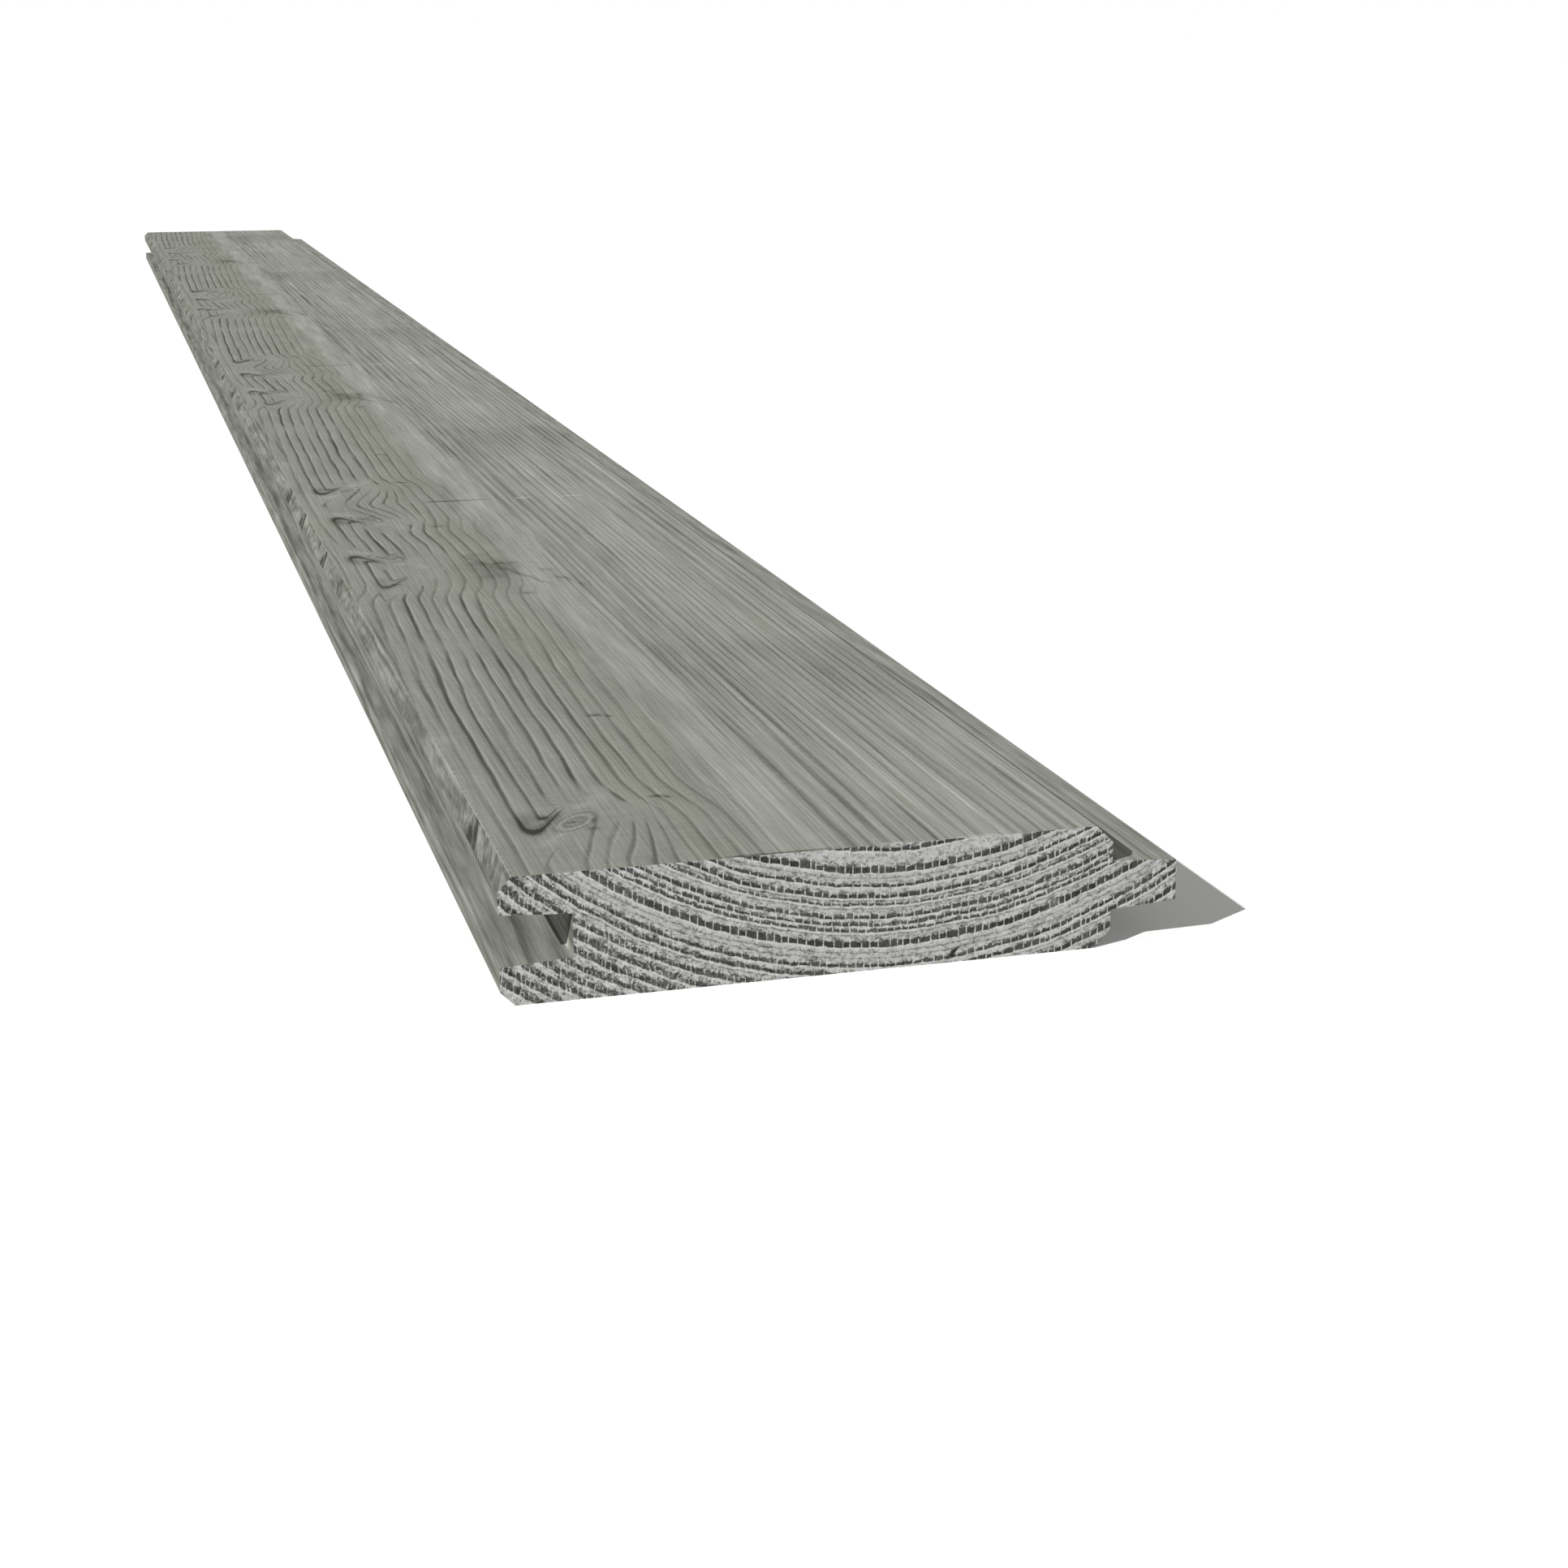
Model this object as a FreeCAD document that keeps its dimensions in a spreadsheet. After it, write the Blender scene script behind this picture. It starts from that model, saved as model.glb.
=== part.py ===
import FreeCAD, Part
import os

import Sketcher

# A planed softwood board for floors, walls and ceilings. A tapered tongue runs along its right edge
# and a groove of the same taper along its left edge, so that each board slides into the next.
# It lies flat on its underside: X is across the board, towards the tongue, Y is along the grain,
# and Z is up. The origin is under the middle of the board, at the centre of its outer box.

# Driving dimensions, in millimetres.
SIZES = {
    # The plank: its length, the width that stays in view once it is laid, and its thickness.
    "board_length": 2000.0,
    "cover_width": 130.25,
    "board_thickness": 27.0,
    # The tongue tapers from its root to its tip, about a middle line above the underside.
    "tongue_length": 14.75,
    "tongue_root_thickness": 10.8,
    "tongue_tip_thickness": 8.95,
    "tongue_middle_height": 13.7,
    # The room that a neighbour's tongue has in the groove: in its thickness, and at its tip.
    "joint_side_clearance": 0.2,
    "joint_end_clearance": 0.25,
    # The long arrises are chamfered at 45 degrees, and two laid boards meet in a V.
    "groove_edge_chamfer": 3.0,
    "tongue_edge_chamfer": 3.75,
    # The cutter leaves the tongue's root and tip slightly rounded.
    "tongue_root_radius": 0.5,
    "tongue_tip_radius": 0.4,
}

doc = FreeCAD.newDocument("tongue_and_groove_board")
sheet = doc.addObject("Spreadsheet::Sheet", "sizes")
for row, (alias, value) in enumerate(SIZES.items(), start=1):
    sheet.set(f"A{row}", alias)
    sheet.set(f"B{row}", str(value))
    sheet.setAlias(f"B{row}", alias)
doc.recompute()

# Places across the board, worked out from the driving dimensions.
GROOVE_EDGE = "-(sizes.cover_width + sizes.tongue_length) / 2"
TONGUE_TIP = "(sizes.cover_width + sizes.tongue_length) / 2"
SHOULDER = "(sizes.cover_width - sizes.tongue_length) / 2"
GROOVE_FLOOR = f"{GROOVE_EDGE} + sizes.tongue_length + sizes.joint_end_clearance"

# Heights above the underside.
UNDERSIDE = "0"
TOP_FACE = "sizes.board_thickness"


def span_about_middle(thickness):
    """The lower and upper height of something centred on the tongue's middle line."""
    lower = f"sizes.tongue_middle_height - ({thickness}) / 2"
    upper = f"sizes.tongue_middle_height + ({thickness}) / 2"
    return lower, upper


TONGUE_ROOT_SPAN = span_about_middle("sizes.tongue_root_thickness")
TONGUE_TIP_SPAN = span_about_middle("sizes.tongue_tip_thickness")
GROOVE_MOUTH_SPAN = span_about_middle("sizes.tongue_root_thickness + sizes.joint_side_clearance")
GROOVE_FLOOR_SPAN = span_about_middle("sizes.tongue_tip_thickness + sizes.joint_side_clearance")


def worked_out(formula):
    """The number of millimetres that a formula gives."""
    return float(sheet.evalExpression(formula.replace("sizes.", "")))


board = doc.addObject("PartDesign::Body", "board")
board.Label = "board"
cross_plane = next(plane for plane in board.Origin.OriginFeatures if plane.Role == "XZ_Plane")


def upright_sided_section(name, left, left_span, right, right_span):
    """A four-sided section across the board, with an upright side at its left and at its right."""
    sketch = board.newObject("Sketcher::SketchObject", name)
    sketch.AttachmentSupport = [(cross_plane, "")]
    sketch.MapMode = "FlatFace"

    formulas = [
        ("lower_left", left, left_span[0]),
        ("lower_right", right, right_span[0]),
        ("upper_right", right, right_span[1]),
        ("upper_left", left, left_span[1]),
    ]
    corners = [FreeCAD.Vector(worked_out(x), worked_out(z), 0) for _, x, z in formulas]
    sides = [
        sketch.addGeometry(Part.LineSegment(corner, corners[(index + 1) % len(corners)]), False)
        for index, corner in enumerate(corners)
    ]
    lower, right_side, upper, left_side = sides
    start_point, end_point = 1, 2
    for index, side in enumerate(sides):
        following = sides[(index + 1) % len(sides)]
        sketch.addConstraint(Sketcher.Constraint("Coincident", side, end_point, following, start_point))
    sketch.addConstraint(Sketcher.Constraint("Vertical", right_side))
    sketch.addConstraint(Sketcher.Constraint("Vertical", left_side))

    # Each side starts at one corner, which is placed from the middle of the underside.
    origin = (-1, 1)
    for side, edge_name, formula in ((lower, "left_edge", left), (upper, "right_edge", right)):
        place = Sketcher.Constraint("DistanceX", *origin, side, start_point, worked_out(formula))
        sketch.renameConstraint(sketch.addConstraint(place), edge_name)
        sketch.setExpression(f"Constraints.{edge_name}", formula)
    for side, (corner_name, _, formula) in zip(sides, formulas):
        height = Sketcher.Constraint("DistanceY", *origin, side, start_point, worked_out(formula))
        sketch.renameConstraint(sketch.addConstraint(height), corner_name)
        sketch.setExpression(f"Constraints.{corner_name}", formula)
    return sketch


def run_full_length(kind, name, section):
    """A pad or a pocket of a section over the whole length, to both sides of the middle."""
    feature = board.newObject(kind, name)
    feature.Profile = section
    feature.SideType = "Symmetric"
    feature.Type = "Length"
    feature.setExpression("Length", "sizes.board_length")
    doc.recompute()
    return feature


# The plank as it leaves the planer, before its edges are moulded.
plank_span = (UNDERSIDE, TOP_FACE)
plank_section = upright_sided_section("plank_section", GROOVE_EDGE, plank_span, SHOULDER, plank_span)
run_full_length("PartDesign::Pad", "plank", plank_section)

# The tongue stands out from the right edge between an upper and a lower shoulder.
tongue_section = upright_sided_section(
    "tongue_section", SHOULDER, TONGUE_ROOT_SPAN, TONGUE_TIP, TONGUE_TIP_SPAN
)
tongue = run_full_length("PartDesign::Pad", "tongue", tongue_section)

# The groove is the tongue's own section with its clearances, ploughed between two lips of equal reach.
groove_section = upright_sided_section(
    "groove_section", GROOVE_EDGE, GROOVE_MOUTH_SPAN, GROOVE_FLOOR, GROOVE_FLOOR_SPAN
)
groove = run_full_length("PartDesign::Pocket", "groove", groove_section)


def lengthwise_edges(feature, x_formula, span):
    """The names of the two edges along the board at one place across it, at a span's two heights."""
    tolerance = 1e-4
    places = [(worked_out(x_formula), worked_out(height)) for height in span]
    names = []
    for number, edge in enumerate(feature.Shape.Edges, start=1):
        ends = [vertex.Point for vertex in edge.Vertexes]
        for x, z in places:
            if all(abs(end.x - x) < tolerance and abs(end.z - z) < tolerance for end in ends):
                names.append(f"Edge{number}")
    if len(names) != len(places):
        raise ValueError(f"{feature.Name} has {len(names)} edges at {x_formula}, not {len(places)}")
    return names


def dress_edges(kind, name, x_formula, span, size_property, size_formula):
    """A chamfer or a fillet on the two lengthwise edges at one place across the board."""
    base = board.Tip
    feature = board.newObject(kind, name)
    feature.Base = (base, lengthwise_edges(base, x_formula, span))
    feature.setExpression(size_property, size_formula)
    doc.recompute()


CHAMFER = "PartDesign::Chamfer"
FILLET = "PartDesign::Fillet"

# The four long arrises of the plank are chamfered.
dress_edges(CHAMFER, "groove_edge_chamfers", GROOVE_EDGE, plank_span, "Size", "sizes.groove_edge_chamfer")
dress_edges(CHAMFER, "tongue_edge_chamfers", SHOULDER, plank_span, "Size", "sizes.tongue_edge_chamfer")

# The tongue's root is filleted, and the groove's lips are rounded to clear a neighbour's root.
LIP_RADIUS = "sizes.tongue_root_radius + sizes.joint_side_clearance / 2"
dress_edges(FILLET, "tongue_root_fillets", SHOULDER, TONGUE_ROOT_SPAN, "Radius", "sizes.tongue_root_radius")
dress_edges(FILLET, "groove_lip_rounds", GROOVE_EDGE, GROOVE_MOUTH_SPAN, "Radius", LIP_RADIUS)

# The tongue's tip is rounded, and the groove's floor has fillets that a neighbour's tip clears.
TIP_RADIUS = "sizes.tongue_tip_radius"
dress_edges(FILLET, "tongue_tip_rounds", TONGUE_TIP, TONGUE_TIP_SPAN, "Radius", TIP_RADIUS)
dress_edges(FILLET, "groove_floor_fillets", GROOVE_FLOOR, GROOVE_FLOOR_SPAN, "Radius", TIP_RADIUS)

for item in doc.Objects:
    if "Invalid" in item.State or "Error" in item.State:
        raise RuntimeError(f"{item.Name} failed: {item.State}")
if board.Shape.isNull() or not board.Shape.isValid() or len(board.Shape.Solids) != 1:
    raise RuntimeError("the board is not one valid solid")
if not groove.Shape.Volume < tongue.Shape.Volume:
    raise RuntimeError("the groove cut nothing")

os.makedirs("parts", exist_ok=True)
board.Shape.exportStep(f"parts/{board.Label}.step")

box = board.Shape.BoundBox
print(f"{board.Label}: {box.XLength:.2f} x {box.YLength:.2f} x {box.ZLength:.2f} mm")
print(f"lowest corner {box.XMin:.2f}, {box.YMin:.2f}, {box.ZMin:.2f} mm")
print(f"volume {board.Shape.Volume / 1e9:.6f} m3")
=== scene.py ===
import math

import bmesh
import bpy
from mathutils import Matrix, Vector
from mathutils.kdtree import KDTree


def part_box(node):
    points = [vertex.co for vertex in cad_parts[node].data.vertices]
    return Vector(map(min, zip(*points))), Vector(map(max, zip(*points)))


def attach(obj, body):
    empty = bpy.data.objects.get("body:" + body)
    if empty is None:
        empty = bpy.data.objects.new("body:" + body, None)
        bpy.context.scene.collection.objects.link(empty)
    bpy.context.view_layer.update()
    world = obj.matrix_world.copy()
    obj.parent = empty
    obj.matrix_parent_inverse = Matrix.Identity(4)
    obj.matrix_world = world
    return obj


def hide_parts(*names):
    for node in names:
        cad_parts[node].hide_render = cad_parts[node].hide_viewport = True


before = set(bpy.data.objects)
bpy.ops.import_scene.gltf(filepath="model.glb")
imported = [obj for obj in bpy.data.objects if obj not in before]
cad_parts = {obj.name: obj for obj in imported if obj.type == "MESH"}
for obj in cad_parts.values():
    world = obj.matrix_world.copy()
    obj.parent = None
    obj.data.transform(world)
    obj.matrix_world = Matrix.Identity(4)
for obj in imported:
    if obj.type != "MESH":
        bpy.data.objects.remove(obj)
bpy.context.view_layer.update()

# The board: one plank of flat-sawn softwood, planed all round and greyed by a matt stain. A moulder cut
# the tongue, the groove and the four chamfers in one pass along the grain, and a saw squared both ends.
board_low, board_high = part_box("board")
MILLIMETRE = 0.001
BOARD_WIDTH = (board_high.x - board_low.x) / MILLIMETRE
BOARD_LENGTH = (board_high.y - board_low.y) / MILLIMETRE
BOARD_THICKNESS = (board_high.z - board_low.z) / MILLIMETRE

# The section, in millimetres from the groove's edge and from the underside.
TONGUE_LENGTH = 14.75
TONGUE_ROOT_THICKNESS = 10.8
TONGUE_TIP_THICKNESS = 8.95
TONGUE_MIDDLE_HEIGHT = 13.7
JOINT_SIDE_CLEARANCE = 0.2
JOINT_END_CLEARANCE = 0.25
GROOVE_EDGE_CHAMFER = 3.0
TONGUE_EDGE_CHAMFER = 3.75
ARRIS_ROUND = 0.25
TONGUE_ROOT_FILLET = 0.5
GROOVE_LIP_ROUND = 0.6
TONGUE_TIP_ROUND = 0.4
SHOULDER = BOARD_WIDTH - TONGUE_LENGTH
GROOVE_FLOOR = TONGUE_LENGTH + JOINT_END_CLEARANCE
GROOVE_MOUTH_HEIGHT = TONGUE_ROOT_THICKNESS + JOINT_SIDE_CLEARANCE
GROOVE_FLOOR_HEIGHT = TONGUE_TIP_THICKNESS + JOINT_SIDE_CLEARANCE

# How closely the outline is divided: finely over the face, whose grain stands in relief, and at a rounded
# corner by the angle that it turns.
FACE_STEP = 0.8
UNDERSIDE_STEP = 1.4
EDGE_STEP = 1.6
ARC_STEP = math.radians(30.0)


def half_section(side):
    """The corners of the lower half (side -1) or upper half (side 1), from the groove to the tongue."""
    outer = 0.0 if side < 0 else BOARD_THICKNESS
    step = UNDERSIDE_STEP if side < 0 else FACE_STEP
    groove_chamfer = outer - side * GROOVE_EDGE_CHAMFER
    tongue_chamfer = outer - side * TONGUE_EDGE_CHAMFER
    middle = TONGUE_MIDDLE_HEIGHT
    return [
        (GROOVE_FLOOR, middle + side * GROOVE_FLOOR_HEIGHT / 2, TONGUE_TIP_ROUND, EDGE_STEP),
        (0.0, middle + side * GROOVE_MOUTH_HEIGHT / 2, GROOVE_LIP_ROUND, EDGE_STEP),
        (0.0, groove_chamfer, ARRIS_ROUND, EDGE_STEP),
        (GROOVE_EDGE_CHAMFER, outer, ARRIS_ROUND, step),
        (SHOULDER - TONGUE_EDGE_CHAMFER, outer, ARRIS_ROUND, EDGE_STEP),
        (SHOULDER, tongue_chamfer, ARRIS_ROUND, EDGE_STEP),
        (SHOULDER, middle + side * TONGUE_ROOT_THICKNESS / 2, TONGUE_ROOT_FILLET, EDGE_STEP),
        (BOARD_WIDTH, middle + side * TONGUE_TIP_THICKNESS / 2, TONGUE_TIP_ROUND, EDGE_STEP),
    ]


def eased_corner(before, corner, after, radius):
    """The points of the small arc that a cutter or sandpaper leaves at a corner."""
    towards_before = (before - corner).normalized()
    towards_after = (after - corner).normalized()
    opening = towards_before.angle(towards_after)
    setback = radius / math.tan(opening / 2)
    start = corner + towards_before * setback
    end = corner + towards_after * setback
    centre = corner + (towards_before + towards_after).normalized() * radius / math.sin(opening / 2)
    steps = 2 + round((math.pi - opening) / ARC_STEP)
    points = []
    for number in range(steps + 1):
        share = number / steps
        spoke = (start.lerp(end, share) - centre).normalized()
        points.append(centre + spoke * radius)
    return points


def section_outline():
    """The whole outline as a closed ring of points."""
    lower = half_section(-1)
    upper = half_section(1)
    corners = []
    for x, z, radius, step in lower:
        corners.append((Vector((x, z)), radius, step))
    for index in range(len(upper) - 1, -1, -1):
        x, z, radius, _ = upper[index]
        step = upper[index - 1][3] if index else EDGE_STEP
        corners.append((Vector((x, z)), radius, step))
    rounds = []
    for index, (corner, radius, step) in enumerate(corners):
        before = corners[index - 1][0]
        after = corners[(index + 1) % len(corners)][0]
        rounds.append((eased_corner(before, corner, after, radius), step))
    outline = []
    for index, (arc, step) in enumerate(rounds):
        outline += arc
        run_start = arc[-1]
        run_end = rounds[(index + 1) % len(rounds)][0][0]
        pieces = max(1, round((run_end - run_start).length / step))
        outline += [run_start.lerp(run_end, number / pieces) for number in range(1, pieces)]
    return outline


section = bpy.data.meshes.new("board_section")
outline = section_outline()
# The section is drawn lying flat, with its height along -Y, as the sweep takes it.
section.from_pydata(
    [(board_low.x + p.x * MILLIMETRE, -board_low.z - p.y * MILLIMETRE, 0.0) for p in outline],
    [(index, (index + 1) % len(outline)) for index in range(len(outline))],
    [],
)


class Field:
    """A number that varies over the wood: one output in a node tree, with sums that grow new nodes."""

    def __init__(self, tree, socket):
        self.tree = tree
        self.socket = socket

    def grow(self, kind, **settings):
        node = self.tree.nodes.new(kind)
        for name, value in settings.items():
            setattr(node, name, value)
        return node

    def feed(self, socket, value):
        if isinstance(value, Field):
            self.tree.links.new(value.socket, socket)
        else:
            socket.default_value = value

    def sums(self, operation, *others):
        node = self.grow("ShaderNodeMath", operation=operation)
        for socket, value in zip(node.inputs, (self, *others)):
            self.feed(socket, value)
        return Field(self.tree, node.outputs[0])

    def __add__(self, other):
        return self.sums("ADD", other)

    def __radd__(self, other):
        return self.sums("ADD", other)

    def __sub__(self, other):
        return self.sums("SUBTRACT", other)

    def __rsub__(self, other):
        return self.sums("MULTIPLY_ADD", -1.0, other)

    def __mul__(self, other):
        return self.sums("MULTIPLY", other)

    def __truediv__(self, other):
        return self.sums("DIVIDE", other)

    def at_least(self, limit):
        return self.sums("MAXIMUM", limit)

    def at_most(self, limit):
        return self.sums("MINIMUM", limit)

    def ramp(self, start, end):
        """From 0 at the start to 1 at the end, smoothly. A start above the end gives a fall."""
        node = self.grow("ShaderNodeMapRange", interpolation_type="SMOOTHSTEP")
        for name, value in (("Value", self), ("From Min", start), ("From Max", end)):
            self.feed(node.inputs[name], value)
        return Field(self.tree, node.outputs["Result"])

    def window(self, rise_start, rise_end, fall_start, fall_end):
        return self.ramp(rise_start, rise_end) * self.ramp(fall_end, fall_start)

    def bell(self, middle, spread):
        """1 in the middle, falling off to both sides."""
        away = (self - middle) / spread
        return (away * away * -1.0).sums("EXPONENT")

    def spot(self, other, middle, reach, turn=0.0):
        """1 in the middle of an oval over two numbers, falling off over its two half sizes."""
        first_away = self - middle[0]
        other_away = other - middle[1]
        cosine = math.cos(math.radians(turn))
        sine = math.sin(math.radians(turn))
        length = (first_away * cosine + other_away * sine) / reach[0]
        width = (other_away * cosine - first_away * sine) / reach[1]
        return ((length * length + width * width) * -1.0).sums("EXPONENT")

    def shaped(self, points):
        """A smooth curve through given points of this number and the value there."""
        places = [place for place, _ in points]
        values = [value for _, value in points]
        span = places[-1] - places[0]
        height = max(values) - min(values)
        share = (self - places[0]) / span
        node = self.grow("ShaderNodeFloatCurve")
        curve = node.mapping.curves[0]
        for index, (place, value) in enumerate(points):
            location = ((place - places[0]) / span, (value - min(values)) / height)
            if index < 2:
                curve.points[index].location = location
            else:
                curve.points.new(*location)
        node.mapping.extend = "HORIZONTAL"
        node.mapping.update()
        self.feed(node.inputs["Value"], share)
        return Field(self.tree, node.outputs["Value"]) * height + min(values)

    def speckle(self):
        """A random number from 0 to 1 for each whole number."""
        node = self.grow("ShaderNodeTexWhiteNoise", noise_dimensions="1D")
        self.feed(node.inputs["W"], self)
        return Field(self.tree, node.outputs["Value"])

    def cloud(self, second=None, third=0.0, detail=2.0, roughness=0.5):
        """Soft noise, mostly from -1 to 1, over one number or three, with a grain about one unit wide."""
        if second is None:
            node = self.grow("ShaderNodeTexNoise", noise_dimensions="1D")
            self.feed(node.inputs["W"], self)
        else:
            place = self.grow("ShaderNodeCombineXYZ")
            for socket, value in zip(place.inputs, (self, second, third)):
                self.feed(socket, value)
            node = self.grow("ShaderNodeTexNoise", noise_dimensions="3D")
            self.tree.links.new(place.outputs["Vector"], node.inputs["Vector"])
        node.inputs["Scale"].default_value = 1.0
        node.inputs["Detail"].default_value = detail
        node.inputs["Roughness"].default_value = roughness
        # The noise keeps mostly between 0.3 and 0.7, so it is spread about its middle.
        return Field(self.tree, node.outputs[0]) * 5.0 - 2.5


def board_places(tree, place):
    """Millimetres across, along and up from the lower near corner at the groove, as three fields."""
    measure = tree.nodes.new("ShaderNodeVectorMath")
    measure.operation = "MULTIPLY_ADD"
    tree.links.new(place, measure.inputs[0])
    measure.inputs[1].default_value = (1 / MILLIMETRE,) * 3
    measure.inputs[2].default_value = [-corner / MILLIMETRE for corner in board_low]
    split = tree.nodes.new("ShaderNodeSeparateXYZ")
    tree.links.new(measure.outputs["Vector"], split.inputs["Vector"])
    return [Field(tree, output) for output in split.outputs]


# The figure of the face, in millimetres across from the groove and along from the near end. It comes back
# with each growth spurt of the stem: straight rings that drift, and lean where two spurts meet.
SPURT = 437.0
RING_WIDTH = 4.45
RING_OFFSET = 0.5
RING_DRIFT = [
    (0, 0),
    (60, 0),
    (250, 5.0),
    (262, 5.4),
    (284, 9.6),
    (302, 11.1),
    (340, 11.1),
    (385, 9.3),
    (SPURT, 2 * RING_WIDTH),
]
JOINT_SHIFT = 3.7
FAN_SLOPE = 0.31
FAN_ROUND = 5.0
# Each side knot: across, along, the way its rings come from (1 from the far end), the ring that it hooks
# and how dark it is. The rings run into the knot's brow, turn round in a hook and climb along it.
SIDE_KNOTS = [
    (13.3, 28.5, 1.0, 10.65, 1.0),
    (15.5, 289.5, 1.0, 1.75, 0.5),
    (11.0, 338.5, -1.0, -2.7, 0.9),
    (13.3, 411.5, -1.0, 1.75, 1.0),
]
BROW_TURN = math.radians(64.0)
BROW_COSINE = math.cos(BROW_TURN)
BROW_SINE = math.sin(BROW_TURN)
BROW_CROWDING = 0.8
BROW_CROWDING_GROWTH = 0.24
BROW_LENGTH = 12.0
HOOK_ROUND = 10.0
HOOK_DEPTH = 1.9
CALM_DEPTH = 2.4
CALM_ROUND = 1.5
# Bands across and stretches along where the rings fan out, break off or fade: where each one begins, is
# full, begins to end and is over.
FAN_BAND = (14.0, 22.0, 30.0, 44.0)
BROKEN_BAND = (20.0, 25.0, 37.0, 44.0)
UNDER_HOOK_BAND = (8.0, 11.0, 19.0, 22.0)
EYE_BAND = (19.0, 23.0, 40.0, 48.0)
EYE_STRETCH = (255.0, 276.0, 331.0, 350.0)
BROKEN_STRETCH = (24.0, 34.0, 42.0, 47.0)
HALFWAY = 203.0
# The eye of a knot, from the foot of its brow: its middle across and up, its half sizes and its turn.
EYE_MIDDLE = (8.8, 4.2)
EYE_REACH = (6.8, 3.0)
EYE_TURN = 53.0
# A knot's other shades: across and up from the foot of its brow, half sizes, turn and how much darker.
KNOT_SHADES = [
    (3.0, 9.0, 1.3, 2.0, 0, 0.36),
    (-0.5, 0.2, 1.8, 1.6, 0, 0.20),
    (8.3, 4.1, 1.1, 0.6, 20, 0.36),
    (11.6, -1.2, 1.3, 1.3, 40, 0.26),
    (13.0, 4.2, 2.8, 0.7, 75, 0.24),
    (1.2, -8.2, 4.0, 2.2, 45, -0.12),
    (4.5, -3.8, 3.0, 1.0, 45, -0.12),
    (18.0, 22.0, 1.8, 6.0, 0, -0.09),
    (12.6, 15.8, 2.6, 1.5, 30, -0.16),
    (17.5, 9.5, 4.0, 3.0, 30, -0.06),
]


def of_nearest_knot(along, values):
    """The one of the knots' values that belongs to the nearest knot."""
    chosen = along * 0.0 + values[0]
    for index in range(1, len(SIDE_KNOTS)):
        border = (SIDE_KNOTS[index - 1][1] + SIDE_KNOTS[index][1]) / 2
        chosen = chosen + along.sums("GREATER_THAN", border) * (values[index] - values[index - 1])
    return chosen


def face_figure(x, y):
    """The late wood of the face, the pale edge beside it, and places about the nearest knot, as fields."""
    along = y - (y / SPURT).sums("FLOOR") * SPURT
    from_joint = SPURT / 2 - (along - SPURT / 2).sums("ABSOLUTE")
    wander = (x / 16.0).cloud(y / 150.0, detail=1.0) * 0.8 + (x / 5.0).cloud(y / 30.0, detail=1.0) * 0.25
    knot_values = [of_nearest_knot(along, values) for values in zip(*SIDE_KNOTS)]
    knot_x, knot_y, way, ring, knot_strength = knot_values
    across = x - knot_x
    up = (along - knot_y) * way
    from_foot = up + HOOK_DEPTH
    climb = across * BROW_COSINE + from_foot * BROW_SINE
    above = from_foot * BROW_COSINE - across * BROW_SINE
    # Below a brow, where two spurts meet, the rings stand further across and fan out from the joint.
    shift = from_joint.ramp(64.0, 30.0) * x.ramp(10.0, 18.0) * JOINT_SHIFT
    rounded_joint = (from_joint * from_joint + FAN_ROUND * FAN_ROUND).sums("SQRT") - FAN_ROUND
    fan = rounded_joint * from_joint.ramp(41.0, 37.0) * x.window(*FAN_BAND) * FAN_SLOPE
    lean = (shift + fan) * above.ramp(2.0, -5.0)
    place = x - along.shaped(RING_DRIFT) - lean + wander
    # The rings hook round the knot: they turn at its brow, and lie calm below it.
    crowding = climb.at_least(0.0).at_most(BROW_LENGTH) * BROW_CROWDING_GROWTH + BROW_CROWDING
    hooked = (above * crowding + ring).sums("SMOOTH_MAX", ring - CALM_DEPTH, CALM_ROUND)
    bent = place.sums("SMOOTH_MIN", hooked, HOOK_ROUND)
    held = above.ramp(-7.5, -5.0) * climb.ramp(24.0, 17.0) * across.ramp(-5.5, -3.2)
    place = place + (bent - place) * held
    # They fade below and past the brow, where they break off beside it, by the second knot's eye, and
    # halfway along the spurt.
    below_brow = above.window(-9.5, -7.5, -5.0, -2.5) * across.ramp(22.0, 12.0) * 0.85
    past_brow = climb.window(16.0, 21.0, 32.0, 44.0) * above.window(-9.0, -5.0, 4.0, 8.0) * 0.75
    broken = from_joint.window(*BROKEN_STRETCH) * x.window(*BROKEN_BAND) * 0.9
    under_hook = from_joint.ramp(28.0, 22.0) * x.window(*UNDER_HOOK_BAND) * 0.5
    fanned = from_joint.ramp(34.0, 24.0) * x.window(*BROKEN_BAND) * 0.28
    halfway = along.bell(HALFWAY, 12.0) * x.ramp(46.0, 36.0) * 0.65
    beside_eye = along.window(*EYE_STRETCH) * x.window(*EYE_BAND) * 0.5
    fade = (below_brow + past_brow) * across.ramp(0.0, 4.0) + broken + under_hook + fanned
    fade = fade + halfway + beside_eye
    hook_width = climb.ramp(0.0, BROW_LENGTH) * 1.8 + 1.1
    hook = (place - ring).bell(0.0, hook_width) * climb.window(-4.0, 0.0, 11.0, 18.0)
    hook = hook * above.window(-2.2, -0.6, 3.0, 11.0)
    rings = place / RING_WIDTH + RING_OFFSET
    number = rings.sums("FLOOR")
    share = rings - number
    strength = number.speckle() * 0.5 + 0.6
    strength = strength * ((number * 7.3).cloud(y / 50.0, detail=3.0) * 0.35 + 0.9).at_least(0.1)
    strength = strength * (1.0 - fade).at_least(0.0)
    line = share.window(0.65, 0.84, 0.91, 1.0) * 0.8 + share.window(0.40, 0.85, 0.90, 1.0) * 0.2
    return {
        "late": line * strength,
        "pale": share.window(0.0, 0.03, 0.06, 0.18) * strength,
        "hook": hook * knot_strength,
        "across": across,
        "up": up,
        "knot_strength": knot_strength,
        "along": along,
        "from_joint": from_joint,
    }


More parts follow.
